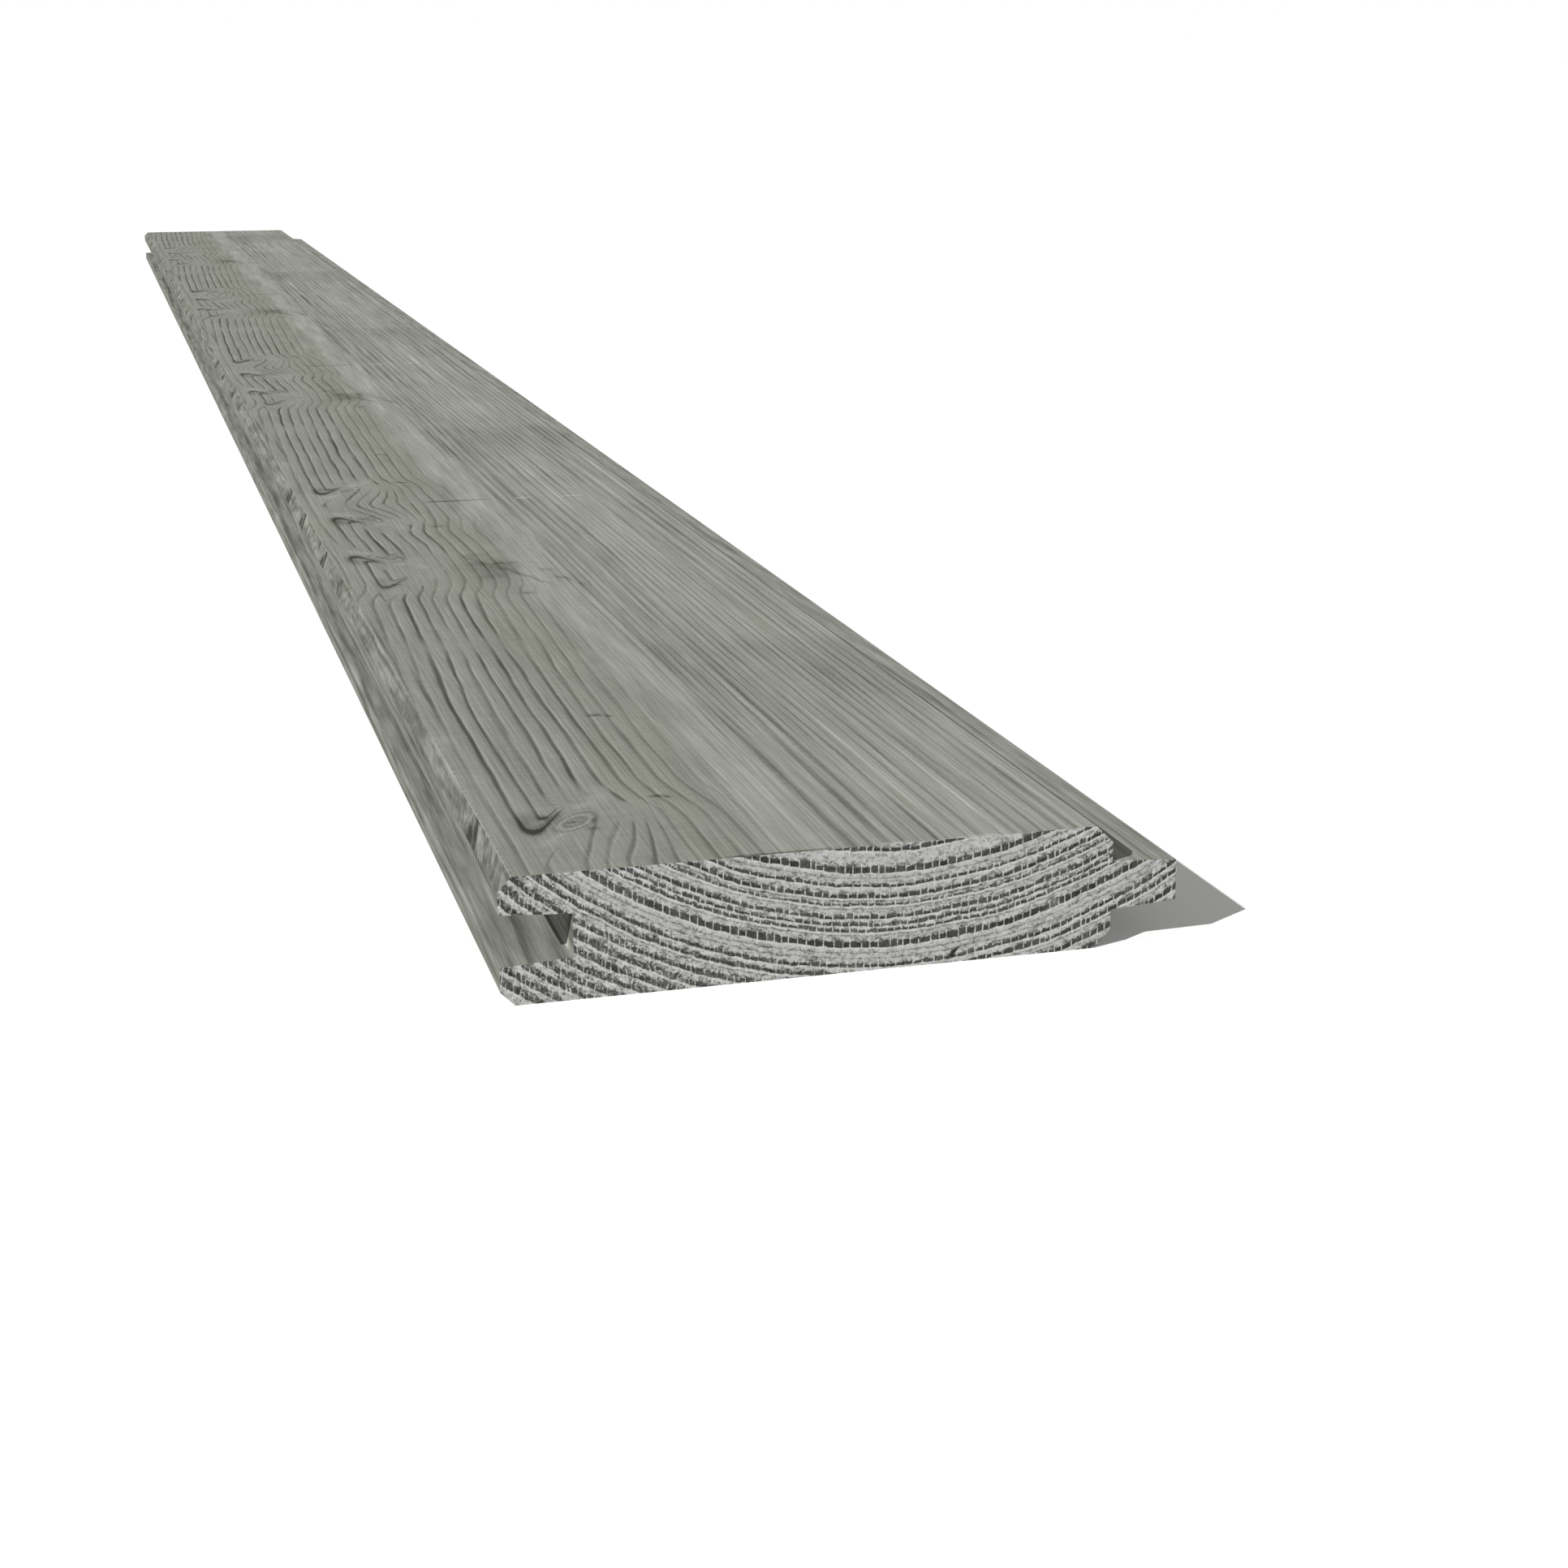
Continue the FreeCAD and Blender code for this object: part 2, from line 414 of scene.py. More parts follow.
def knot_shade(figure):
    """How much darker a knot's eye and the patches about it are than the wood around them."""
    across = figure["across"]
    up = figure["up"]
    turn = math.radians(EYE_TURN)
    eye_x = across - EYE_MIDDLE[0]
    eye_up = up - EYE_MIDDLE[1]
    eye_length = (eye_x * math.cos(turn) + eye_up * math.sin(turn)) / EYE_REACH[0]
    eye_width = (eye_up * math.cos(turn) - eye_x * math.sin(turn)) / EYE_REACH[1]
    eye = (eye_length * eye_length + eye_width * eye_width).sums("SQRT")
    eye = eye + (across / 1.5).cloud(up / 1.5) * 0.06
    shade = eye.bell(1.08, 0.13) * 0.15 - eye.bell(0.84, 0.14) * 0.10
    shade = shade + eye.bell(0.55, 0.11) * 0.14 + eye.ramp(1.0, 0.4) * 0.07
    for middle_x, middle_up, reach_x, reach_up, patch_turn, darkness in KNOT_SHADES:
        patch = across.spot(up, (middle_x, middle_up), (reach_x, reach_up), patch_turn)
        shade = shade + patch * darkness
    return shade * figure["knot_strength"].ramp(0.5, 0.9)


# The plank is swept along the grain by a node tree: the outline runs from the near end to the far end, with
# closer stations where the viewer stands, both ends are filled, and the late wood sinks a little.
STATIONS = 200
STATION_CROWDING = 1.4
SEAM_REACH = 0.02
GRAIN_RELIEF = 0.07
RELIEF_BAND = (3.6, 5.0, 46.0, 56.0)
# A face of the mesh belongs to a side when it looks that way at least this squarely.
SQUARE_ON = 0.9

tree = bpy.data.node_groups.new("planed_board", "GeometryNodeTree")
tree.interface.new_socket("Section", in_out="INPUT", socket_type="NodeSocketGeometry")
length_input = tree.interface.new_socket("Length", in_out="INPUT", socket_type="NodeSocketFloat")
stations_input = tree.interface.new_socket("Stations", in_out="INPUT", socket_type="NodeSocketInt")
relief_input = tree.interface.new_socket("Grain relief", in_out="INPUT", socket_type="NodeSocketFloat")
long_grain_input = tree.interface.new_socket("Long grain", in_out="INPUT", socket_type="NodeSocketMaterial")
end_grain_input = tree.interface.new_socket("End grain", in_out="INPUT", socket_type="NodeSocketMaterial")
tree.interface.new_socket("Board", in_out="OUTPUT", socket_type="NodeSocketGeometry")


def tree_node(kind, **links):
    """One node of the board's tree, with its inputs linked or set by name."""
    node = tree.nodes.new(kind)
    for name, value in links.items():
        socket = node.inputs[name.replace("_", " ")]
        if isinstance(value, bpy.types.NodeSocket):
            tree.links.new(value, socket)
        elif isinstance(value, Field):
            tree.links.new(value.socket, socket)
        else:
            socket.default_value = value
    return node


given = tree.nodes.new("NodeGroupInput").outputs
ring_of_edges = tree_node("GeometryNodeMeshToCurve", Mesh=given["Section"])

# The stations along the grain.
line = tree_node("GeometryNodeCurvePrimitiveLine", End=(0.0, 1.0, 0.0))
stations = tree_node("GeometryNodeResampleCurve", Curve=line.outputs["Curve"], Count=given["Stations"])
station = tree.nodes.new("GeometryNodeSplineParameter")
share_along = Field(tree, station.outputs["Factor"])
length_field = Field(tree, given["Length"])
station_y = share_along.sums("POWER", STATION_CROWDING) * length_field - length_field * 0.5
station_place = tree_node("ShaderNodeCombineXYZ", Y=station_y)
grain_line = tree_node(
    "GeometryNodeSetPosition",
    Geometry=stations.outputs["Curve"],
    Position=station_place.outputs["Vector"],
)
run = tree_node(
    "GeometryNodeCurveToMesh",
    Curve=grain_line.outputs["Geometry"],
    Profile_Curve=ring_of_edges.outputs["Curve"],
)

# The two sawn ends.
fill = tree_node("GeometryNodeFillCurve", Curve=ring_of_edges.outputs["Curve"])
joined = tree.nodes.new("GeometryNodeJoinGeometry")
tree.links.new(run.outputs["Mesh"], joined.inputs["Geometry"])
for way in (-0.5, 0.5):
    end_place = tree_node("ShaderNodeCombineXYZ", Y=length_field * way)
    end = tree_node(
        "GeometryNodeTransform",
        Geometry=fill.outputs["Mesh"],
        Translation=end_place.outputs["Vector"],
        Rotation=(-math.pi / 2, 0.0, 0.0),
    )
    tree.links.new(end.outputs["Geometry"], joined.inputs["Geometry"])
closed = tree_node(
    "GeometryNodeMergeByDistance",
    Geometry=joined.outputs["Geometry"],
    Distance=SEAM_REACH * MILLIMETRE,
)

# The late wood of the face lies lower than the early wood that the brush left standing.
position = tree.nodes.new("GeometryNodeInputPosition")
place_x, place_y, place_z = board_places(tree, position.outputs["Position"])
on_face = place_z.ramp(BOARD_THICKNESS - 0.02, BOARD_THICKNESS - 0.01)
in_relief = place_x.window(*RELIEF_BAND)
sink = face_figure(place_x, place_y)["late"] * on_face * in_relief
sunk = tree_node("ShaderNodeCombineXYZ", Z=sink * Field(tree, given["Grain relief"]) * -1.0)
relief = tree_node(
    "GeometryNodeSetPosition",
    Geometry=closed.outputs["Geometry"],
    Offset=sunk.outputs["Vector"],
)
whole = tree_node("GeometryNodeRealizeInstances", Geometry=relief.outputs["Geometry"])

# Long grain all round, and end grain where a face looks along the grain.
normal = tree.nodes.new("GeometryNodeInputNormal")
facing = tree_node("ShaderNodeSeparateXYZ", Vector=normal.outputs["Normal"])
sawn = Field(tree, facing.outputs["Y"]).sums("ABSOLUTE").sums("GREATER_THAN", SQUARE_ON)
planed_wood = tree_node(
    "GeometryNodeSetMaterial",
    Geometry=whole.outputs["Geometry"],
    Material=given["Long grain"],
)
all_wood = tree_node(
    "GeometryNodeSetMaterial",
    Geometry=planed_wood.outputs["Geometry"],
    Selection=sawn,
    Material=given["End grain"],
)
result = tree.nodes.new("NodeGroupOutput")
tree.links.new(all_wood.outputs["Geometry"], result.inputs["Board"])


def srgb(red, green, blue):
    """A colour written as screen values from 0 to 255, for a shader."""
    return [((value / 255 + 0.055) / 1.055) ** 2.4 for value in (red, green, blue)] + [1.0]


# The stain leaves the wood almost without shine, and browns it where it is thin.
STAIN_SHINE = 0.03
BROWN_TINT = (1.0, 0.95, 0.82, 1.0)


def wood_finish(name, roughness):
    """A matt wood material, its board places in millimetres, and its shader."""
    material = bpy.data.materials.new(name)
    material.use_nodes = True
    shader = material.node_tree.nodes["Principled BSDF"]
    shader.inputs["Roughness"].default_value = roughness
    shader.inputs["Specular IOR Level"].default_value = STAIN_SHINE
    coordinates = material.node_tree.nodes.new("ShaderNodeTexCoord")
    places = board_places(material.node_tree, coordinates.outputs["Object"])
    return material, shader, places


def stained(tone, shades, warmth, shader):
    """Colours a tone from 0 to 1 through a row of shades, and browns it where it is warm."""
    shade_row = tone.grow("ShaderNodeValToRGB")
    for index, (place, colour) in enumerate(shades):
        elements = shade_row.color_ramp.elements
        stop = elements[index] if index < 2 else elements.new(place)
        stop.position = place
        stop.color = srgb(*colour)
    tone.feed(shade_row.inputs["Fac"], tone)
    browned = tone.grow("ShaderNodeMix", data_type="RGBA", blend_type="MULTIPLY")
    tone.feed(browned.inputs["Factor"], warmth)
    tone.tree.links.new(shade_row.outputs["Color"], browned.inputs["A"])
    browned.inputs["B"].default_value = BROWN_TINT
    tone.tree.links.new(browned.outputs["Result"], shader.inputs["Base Color"])


def raised(height, shader):
    """Bump from a height in millimetres."""
    bump = height.grow("ShaderNodeBump")
    bump.inputs["Distance"].default_value = MILLIMETRE
    height.tree.links.new(height.socket, bump.inputs["Height"])
    height.tree.links.new(bump.outputs["Normal"], shader.inputs["Normal"])


# Long grain: the face has the hooked figure, a plain pale band at its middle and close straight rings
# towards the tongue. The edges and the underside cut the rings of the stem, which tapers.
WOOD_SHADES = [
    (0.0, (58, 59, 53)),
    (0.3, (98, 99, 92)),
    (0.6, (137, 138, 131)),
    (0.8, (157, 158, 152)),
    (1.0, (182, 183, 179)),
]
FACE_CONTRAST = [
    (0, 0.35),
    (8, 0.7),
    (13, 1.0),
    (32, 1.0),
    (41, 0.65),
    (50, 0.5),
    (60, 0.16),
    (68, 0),
    (131, 0),
]
FACE_TONE = [
    (0, 0.59),
    (40, 0.58),
    (50, 0.57),
    (58, 0.65),
    (66, 0.73),
    (72, 0.68),
    (82, 0.67),
    (98, 0.72),
    (108, 0.72),
    (120, 0.69),
    (126, 0.76),
    (131, 0.82),
]
# The straight rings towards the tongue: their places across, their widths and how dark they are.
STRAIGHT_RINGS = [
    (58.0, 0.8, 0.3),
    (64.5, 0.8, 0.3),
    (68.5, 0.9, 0.4),
    (73.7, 1.1, 0.9),
    (77.3, 0.9, 0.5),
    (80.5, 1.4, 1.0),
    (84.4, 1.0, 0.9),
    (87.4, 0.7, 0.6),
    (91.0, 1.0, 1.0),
    (94.2, 0.6, 0.5),
    (97.8, 0.8, 0.4),
    (100.8, 1.0, 0.8),
    (104.9, 0.7, 0.4),
    (108.4, 0.8, 0.6),
    (111.2, 1.1, 0.8),
    (114.6, 0.8, 0.6),
    (118.5, 1.0, 0.8),
    (121.7, 1.1, 0.9),
    (125.0, 0.7, 0.4),
]
# The pale rings between them: their places across and their width.
STRAIGHT_PALE = [79.2, 82.6, 88.6, 92.3, 95.2, 102.6, 105.9, 116.7, 123.3]
STRAIGHT_PALE_WIDTH = 0.55
FINE_RING_WIDTH = 2.35
# How much darker the late wood and a knot's hook are, and how much paler the edge of a ring.
LATE_DARKNESS = 0.43
HOOK_DARKNESS = 0.40
EDGE_PALENESS = 0.12
# Small marks of the face, once in every spurt: across, along, half sizes, turn and how much darker.
FACE_MARKS = [
    (43.0, 47.0, 1.8, 0.9, 0, 0.34),
    (45.0, 45.8, 0.8, 0.9, 0, 0.36),
    (44.0, 119.0, 1.8, 1.2, 0, 0.34),
    (47.2, 117.4, 0.8, 1.2, 0, 0.34),
    (54.0, 268.0, 1.8, 1.8, 0, 0.22),
    (44.0, 387.0, 2.2, 2.0, 0, 0.20),
    (17.5, 290.5, 2.2, 1.6, 0, 0.26),
    (5.6, 105.0, 1.6, 6.0, 0, -0.14),
    (7.0, 155.0, 0.55, 20.0, 0, 0.30),
    (3.7, 216.0, 0.5, 22.0, 0, 0.34),
]
# A smudge beside the third knot, in the same terms, with streaks that curve away from it.
SMUDGE = [
    (51.5, 304.0, 8.5, 18.0, 0, 0.13),
    (54.0, 309.0, 7.5, 9.0, 0, 0.10),
    (54.0, 315.5, 9.0, 1.9, 0, 0.20),
    (46.0, 325.0, 1.4, 9.0, 12, 0.14),
    (50.0, 297.0, 7.0, 3.0, 20, 0.08),
    (55.0, 303.0, 9.0, 1.2, -60, 0.12),
    (60.0, 289.0, 10.0, 1.3, -72, 0.32),
    (66.3, 300.5, 3.6, 1.4, -60, 0.22),
    (69.3, 286.0, 8.0, 1.3, -75, 0.28),
    (48.5, 332.0, 5.5, 1.7, 25, 0.13),
]
long_grain, long_shader, (x, y, z) = wood_finish("planed_grey_softwood", 0.85)
figure = face_figure(x, y)
along = figure["along"]
contrast = x.shaped(FACE_CONTRAST)
broad = (x / 14.0).cloud(y / 55.0, detail=4.0) * 0.05
fibres = (x / 0.8).cloud(y / 26.0, z / 0.8, detail=3.0) * 0.05
ripple = (x / 12.0).cloud(y / 1.6) * (x.ramp(75.0, 40.0) * 0.015 + 0.015)
wavering = x + (x / 20.0).cloud(y / 260.0, detail=1.0) * 0.6 + (x / 3.0).cloud(y / 2.4, 6.0) * 0.12
towards_tongue = x.ramp(60.0, 73.0)
straight = x * 0.0
for number, (ring_x, width, darkness) in enumerate(STRAIGHT_RINGS):
    fading = ((y / 140.0 + number * 37.7).cloud() * 0.4 + 0.6).at_least(0.0)
    straight = straight + wavering.bell(ring_x, width * 0.6) * fading * darkness
straight_pale = x * 0.0
for number, ring_x in enumerate(STRAIGHT_PALE):
    fading = ((y / 130.0 - number * 29.3).cloud() * 0.8 + 0.3).at_least(0.0)
    straight_pale = straight_pale + wavering.bell(ring_x, STRAIGHT_PALE_WIDTH) * fading
fine_ring = (wavering + (x / 7.0).cloud(y / 300.0, 4.0) * 0.9) / FINE_RING_WIDTH
fine_number = fine_ring.sums("FLOOR")
fine_strength = ((fine_number * 5.9).cloud(y / 80.0, detail=3.0) * 0.45 + 0.75).at_least(0.0)
fine_line = (fine_ring - fine_number).window(0.48, 0.74, 0.82, 0.98) * fine_strength * towards_tongue
near_joint = figure["from_joint"].ramp(110.0, 70.0)
streaks = (wavering / 2.0).cloud(y / 130.0, detail=4.0, roughness=0.6) * 0.08 * towards_tongue
clouds = (x / 5.0).cloud(y / 80.0, 7.0, detail=5.0, roughness=0.6) * 0.13 * x.window(48.0, 58.0, 72.0, 84.0)
# A broad darker belt crosses the straight rings once in every spurt, and ends rather suddenly.
belt = along.window(60.0, 150.0, 176.0, 198.0) * x.ramp(66.0, 76.0) * 0.08
face_tone = x.shaped(FACE_TONE) + broad + fibres + ripple + streaks + clouds - belt
face_tone = face_tone + 0.02 - figure["late"] * contrast * LATE_DARKNESS
face_tone = face_tone + figure["pale"] * contrast * EDGE_PALENESS
face_tone = face_tone - straight * (near_joint * 0.24 + 0.19) + straight_pale * (near_joint * 0.12 + 0.08)
face_tone = face_tone - fine_line * (0.26 - near_joint * 0.14)
face_tone = face_tone - figure["hook"] * HOOK_DARKNESS - knot_shade(figure)
for mark_x, mark_y, reach_x, reach_y, turn, darkness in FACE_MARKS:
    face_tone = face_tone - x.spot(along, (mark_x, mark_y), (reach_x, reach_y), turn) * darkness
smeared_x = x + (x / 4.0).cloud(y / 9.0, 9.0) * 1.4
smeared_along = along + (x / 4.0).cloud(y / 9.0, 12.0) * 3.0
for mark_x, mark_y, reach_x, reach_y, turn, darkness in SMUDGE:
    smear = smeared_x.spot(smeared_along, (mark_x, mark_y), (reach_x, reach_y), turn)
    face_tone = face_tone - smear * darkness
# A cutter mark crosses the face where two spurts meet.
cutter_mark = figure["from_joint"].ramp(1.6, 0.8)
cutter_shade = x.window(44.0, 50.0, 66.0, 72.0) * 0.30 - x.window(79.0, 80.0, 84.0, 86.0) * 0.24
cutter_shade = cutter_shade - x.window(94.0, 97.0, 104.0, 106.0) * 0.14
face_tone = face_tone - cutter_mark * cutter_shade
# The arris of the chamfer is nicked into small dark dots.
arris_dots = x.bell(3.15, 0.3) * (y / 1.8).cloud(3.0).ramp(-0.2, 0.6) * 0.16
face_tone = face_tone - arris_dots

# The edges and the underside cut the rings of a stem whose pith lies above the board.
PITH_X = 83.7
PITH_Z = 117.3
STEM_TAPER = 0.011
EDGE_RING_WIDTH = 2.6
EDGE_RING_DARKNESS = 0.22
away_x = x - PITH_X
away_z = z - PITH_Z
radius = (away_x * away_x + away_z * away_z).sums("SQRT")
stem_ring = radius + y * STEM_TAPER + (y / 240.0).cloud(radius / 16.0, x / 60.0) * 1.6
edge_ring = stem_ring / EDGE_RING_WIDTH
edge_number = edge_ring.sums("FLOOR")
edge_share = edge_ring - edge_number
edge_strength = (edge_number.speckle() * 0.6 + 0.4) * ((y / 60.0).cloud(edge_number * 3.1) * 0.3 + 0.9)
edge_late = edge_share.window(0.4, 0.8, 0.9, 1.0) * edge_strength
edge_streaks = (y / 30.0).cloud(z / 2.6, x / 2.6, detail=5.0, roughness=0.55) * 0.15
# The groove's side is painted darker than the underside, as painted shade against the low sun that falls
# squarely on it. The tongue's side is painted paler, as painted light where that side faces away from the
# sun and lies partly in the shoulder's shadow.
UNDERSIDE_TONE = 0.62
GROOVE_SIDE_PAINTED_SHADE = 0.12
TONGUE_SIDE_PAINTED_LIGHT = -0.06
painted_side_shade = x.ramp(17.0, 15.5) * GROOVE_SIDE_PAINTED_SHADE + x.ramp(126.0, 129.0) * TONGUE_SIDE_PAINTED_LIGHT
edge_tone = UNDERSIDE_TONE - painted_side_shade * z.ramp(0.0, 2.5) + broad + fibres + edge_streaks
edge_tone = edge_tone - edge_late * EDGE_RING_DARKNESS

# The chamfer cuts the grain aslant beside the knots, and lengthwise between them.
LIP_TOP = BOARD_THICKNESS - GROOVE_EDGE_CHAMFER
# The chamfer's base tone is darker than the other edges' partly as painted shade, against the low sun that
# falls squarely on it. Its streaks, patches and knot marks are its grain.
CHAMFER_TONE = 0.37
CHAMFER_SLANT = 4.4
on_chamfer = (z - x - LIP_TOP).sums("ABSOLUTE").ramp(0.5, 0.2)
on_chamfer = on_chamfer * x.ramp(GROOVE_EDGE_CHAMFER + 0.6, GROOVE_EDGE_CHAMFER)
slant = x * CHAMFER_SLANT
between_knots = along.window(45.0, 65.0, 255.0, 275.0)
aslant = ((y - slant) / 3.6).cloud((y + slant) / 16.0, detail=5.0, roughness=0.65)
lengthwise = (x / 0.8).cloud(y / 40.0, 3.0, detail=3.0)
chamfer_streaks = aslant * (0.28 - between_knots * 0.18) + lengthwise * between_knots * 0.20
chamfer_patches = (y / 22.0).cloud(x / 2.0, 4.0) * 0.12
chamfer_tone = CHAMFER_TONE + broad + chamfer_streaks + chamfer_patches
for _, knot_y, _, _, strength in SIDE_KNOTS:
    from_knot = along - slant - knot_y
    knot_mark = from_knot.bell(1.0, 1.9) * 0.44 - from_knot.bell(-4.5, 3.0) * 0.14
    knot_mark = knot_mark + from_knot.bell(7.0, 2.4) * x.ramp(1.9, 0.9) * 0.46
    chamfer_tone = chamfer_tone - knot_mark * strength
edge_tone = edge_tone + (chamfer_tone - edge_tone) * on_chamfer
# A thin painted highlight runs along the upper lip's lower arris, and the cutter left a fine ripple on the
# lip's side. The groove's floor is painted paler beyond the first few millimetres from the near end, as
# painted light that lifts the shade cast by the upper lip. It is painted a little darker at the very end,
# where the sun reaches in.
LIP_HEIGHT = TONGUE_MIDDLE_HEIGHT + GROOVE_MOUTH_HEIGHT / 2
RIPPLE_PITCH = 2.2
PAINTED_GROOVE_BAND = [GROOVE_FLOOR + step for step in (-0.5, -0.2, 0.2, 0.4)]
painted_lip_highlight = z.bell(LIP_HEIGHT + 0.2, 0.4) * x.ramp(1.2, 0.5)
ripple_share = (y / RIPPLE_PITCH).sums("FRACT")
lip_side = x.ramp(0.4, 0.15) * z.window(LIP_HEIGHT + 0.4, LIP_HEIGHT + 0.8, LIP_TOP - 0.5, LIP_TOP - 0.1)
lip_ripple = ripple_share.window(0.3, 0.5, 0.5, 0.7) * along.window(10.0, 22.0, 110.0, 180.0) * lip_side
in_groove = z.window(8.0, 9.0, 18.4, 19.4)
painted_groove_light_and_shade = x.window(*PAINTED_GROOVE_BAND) * in_groove * (y.ramp(3.0, 9.0) * 0.5 - 0.05)
edge_tone = edge_tone + painted_lip_highlight * 0.38 - lip_ripple * 0.38 + painted_groove_light_and_shade

upper_face = z.ramp(BOARD_THICKNESS - 0.25, BOARD_THICKNESS - 0.12)
tone = edge_tone + (face_tone - edge_tone) * upper_face
warmth = (x.window(28.0, 44.0, 50.0, 66.0) * 0.18 + (x / 20.0).cloud(y / 90.0, 2.0) * 0.12).at_least(0.0)
stained(tone, WOOD_SHADES, warmth * upper_face, long_shader)
raised(fibres * 0.8, long_shader)

# End grain: the saw shows the rings edge on, dark late wood between pale early wood, crossed by fine rays.
# The same rings come out at both ends.
END_SHADES = [
    (0.0, (48, 48, 47)),
    (0.25, (88, 88, 86)),
    (0.5, (136, 136, 134)),
    (0.75, (182, 182, 181)),
    (1.0, (208, 208, 208)),
]
# Each ring of late wood: its distance from the pith, its thickness and its darkness.
END_RINGS = [
    (91.2, 0.85, 1.0),
    (95.6, 1.25, 1.0),
    (99.1, 0.6, 1.0),
    (101.4, 0.9, 1.0),
    (103.3, 0.5, 0.8),
    (105.9, 0.8, 0.95),
    (107.5, 0.65, 0.9),
    (108.8, 0.65, 0.9),
    (111.7, 1.3, 1.0),
    (116.4, 0.8, 0.95),
    (118.4, 0.9, 1.0),
    (121.5, 1.15, 0.95),
    (124.1, 1.25, 0.9),
    (126.7, 1.25, 0.95),
    (129.2, 1.2, 0.9),
    (131.8, 1.2, 0.95),
    (134.3, 1.2, 0.95),
    (136.9, 1.2, 0.95),
    (139.4, 1.2, 0.95),
]
# Faint rings of a dry summer: their distances from the pith.
FAINT_RINGS = [97.4, 102.5, 104.2, 109.8, 113.6, 114.8, 119.6]
end_grain, end_shader, (x, y, z) = wood_finish("sawn_end_grain", 0.9)
away_x = x - PITH_X
away_z = PITH_Z - z
radius = (away_x * away_x + away_z * away_z).sums("SQRT")
radius = radius + (x / 18.0).cloud(z / 18.0, detail=1.0) * 0.3 + (x / 2.2).cloud(z / 2.2) * 0.16
around = away_x.sums("ARCTAN2", away_z) * radius
outer_wood = radius.ramp(113.0, 122.0) * x.ramp(80.0, 50.0)
ring_count = x * 0.0
for inner, outer in zip(END_RINGS, END_RINGS[1:]):
    ring_count = ring_count + radius.sums("GREATER_THAN", (inner[0] + outer[0]) / 2)


def ray_cells(place, feature, output):
    """Cells between rays, as one number for each place along a ring."""
    node = place.grow("ShaderNodeTexVoronoi", voronoi_dimensions="1D", feature=feature)
    place.feed(node.inputs["W"], place)
    node.inputs["Scale"].default_value = 1.0
    return node.outputs[output]


def on_ray(place, width):
    """1 on the rays that part the cells, 0 inside them."""
    from_ray = Field(end_grain.node_tree, ray_cells(place, "DISTANCE_TO_EDGE", "Distance"))
    return from_ray.ramp(width, width * 0.25)


# In the inner wood each ring has its own rays. In the outer wood they stand closer and cross many rings.
RAY_SPACING = 1.9
RAY_WIDTH = 0.12
OUTER_RAY_SPACING = 1.35
OUTER_RAY_WIDTH = 0.16
ray_place = around / RAY_SPACING + ring_count * 13.7
ray_gap = on_ray(ray_place, RAY_WIDTH)
outer_ray_place = around / OUTER_RAY_SPACING + (radius / 5.0).cloud(around / 5.0) * 0.35
outer_ray_gap = on_ray(outer_ray_place, OUTER_RAY_WIDTH)
outer_ray_gap = outer_ray_gap * (around / 2.0).cloud(radius / 1.6, 8.0).ramp(-0.9, 0.0) * outer_wood
cell_colour = ray_place.grow("ShaderNodeSeparateColor")
end_grain.node_tree.links.new(ray_cells(ray_place, "F1", "Color"), cell_colour.inputs["Color"])
cell = Field(end_grain.node_tree, cell_colour.outputs["Red"])
fine_rays = (around / 0.35).cloud(radius / 1.6, detail=2.0)
ragged = radius + (cell - 0.5) * 0.5 + fine_rays * 0.26
late = x * 0.0
halo = x * 0.0
dusk = x * 0.0
for ring_radius, thickness, darkness in END_RINGS:
    start = ring_radius - thickness / 2
    finish = ring_radius + thickness / 2
    outer_edge = radius.ramp(finish + 0.10, finish - 0.06)
    late = late + ragged.ramp(start - 0.15, start + 0.15) * outer_edge * darkness
    dusk = dusk + ragged.ramp(start - 1.3, start + 0.2) * outer_edge
    halo = halo + radius.bell(finish + 0.30, 0.26)
faint = x * 0.0
for ring_radius in FAINT_RINGS:
    faint = faint + (radius + fine_rays * 0.06).bell(ring_radius, 0.16)
# The saw tore the early wood into fine grains, pale beside the late wood and darker in clumps.
GRAIN_SIZE = 0.45
EARLY_TONE = 0.79
LATE_TONE = 0.03
grain_place = x.grow("ShaderNodeCombineXYZ")
x.feed(grain_place.inputs["X"], x / GRAIN_SIZE)
x.feed(grain_place.inputs["Y"], z / GRAIN_SIZE)
grain_cells = x.grow("ShaderNodeTexVoronoi", voronoi_dimensions="2D")
grain_cells.inputs["Scale"].default_value = 1.0
end_grain.node_tree.links.new(grain_place.outputs["Vector"], grain_cells.inputs["Vector"])
grain_colour = x.grow("ShaderNodeSeparateColor")
end_grain.node_tree.links.new(grain_cells.outputs["Color"], grain_colour.inputs["Color"])
grain = Field(end_grain.node_tree, grain_colour.outputs["Red"]) - 0.5
clumps = (around / 2.4).cloud(radius / 1.0, 5.0, detail=4.0, roughness=0.6).ramp(-0.7, 0.9)
mottle = (x / 3.0).cloud(z / 3.0, detail=3.0) * 0.05
early = EARLY_TONE + halo * 0.14 + fine_rays * 0.05 + mottle
early = early - clumps * (dusk * 0.28 + 0.18) - faint * 0.22
early = early - outer_wood * 0.04 + outer_ray_gap * 0.10 + ray_gap * dusk * (1.0 - outer_wood) * 0.14
early = early + grain * (clumps * 0.30 + dusk * 0.16 - halo * 0.06 + 0.14 + outer_wood * 0.10)
dark = LATE_TONE + cell * 0.16 + fine_rays * 0.08 + grain * 0.12 + outer_wood * 0.02
patches = ((around / 6.0).cloud(ring_count * 3.3) * 0.25 + 0.95).at_least(0.0).at_most(1.1)
holes = (around / 1.4).cloud(radius / 0.7, 3.0, detail=3.0).ramp(0.0, 0.6) * outer_wood * 0.65
gaps = (ray_gap * (1.0 - outer_wood) + outer_ray_gap) * 0.95
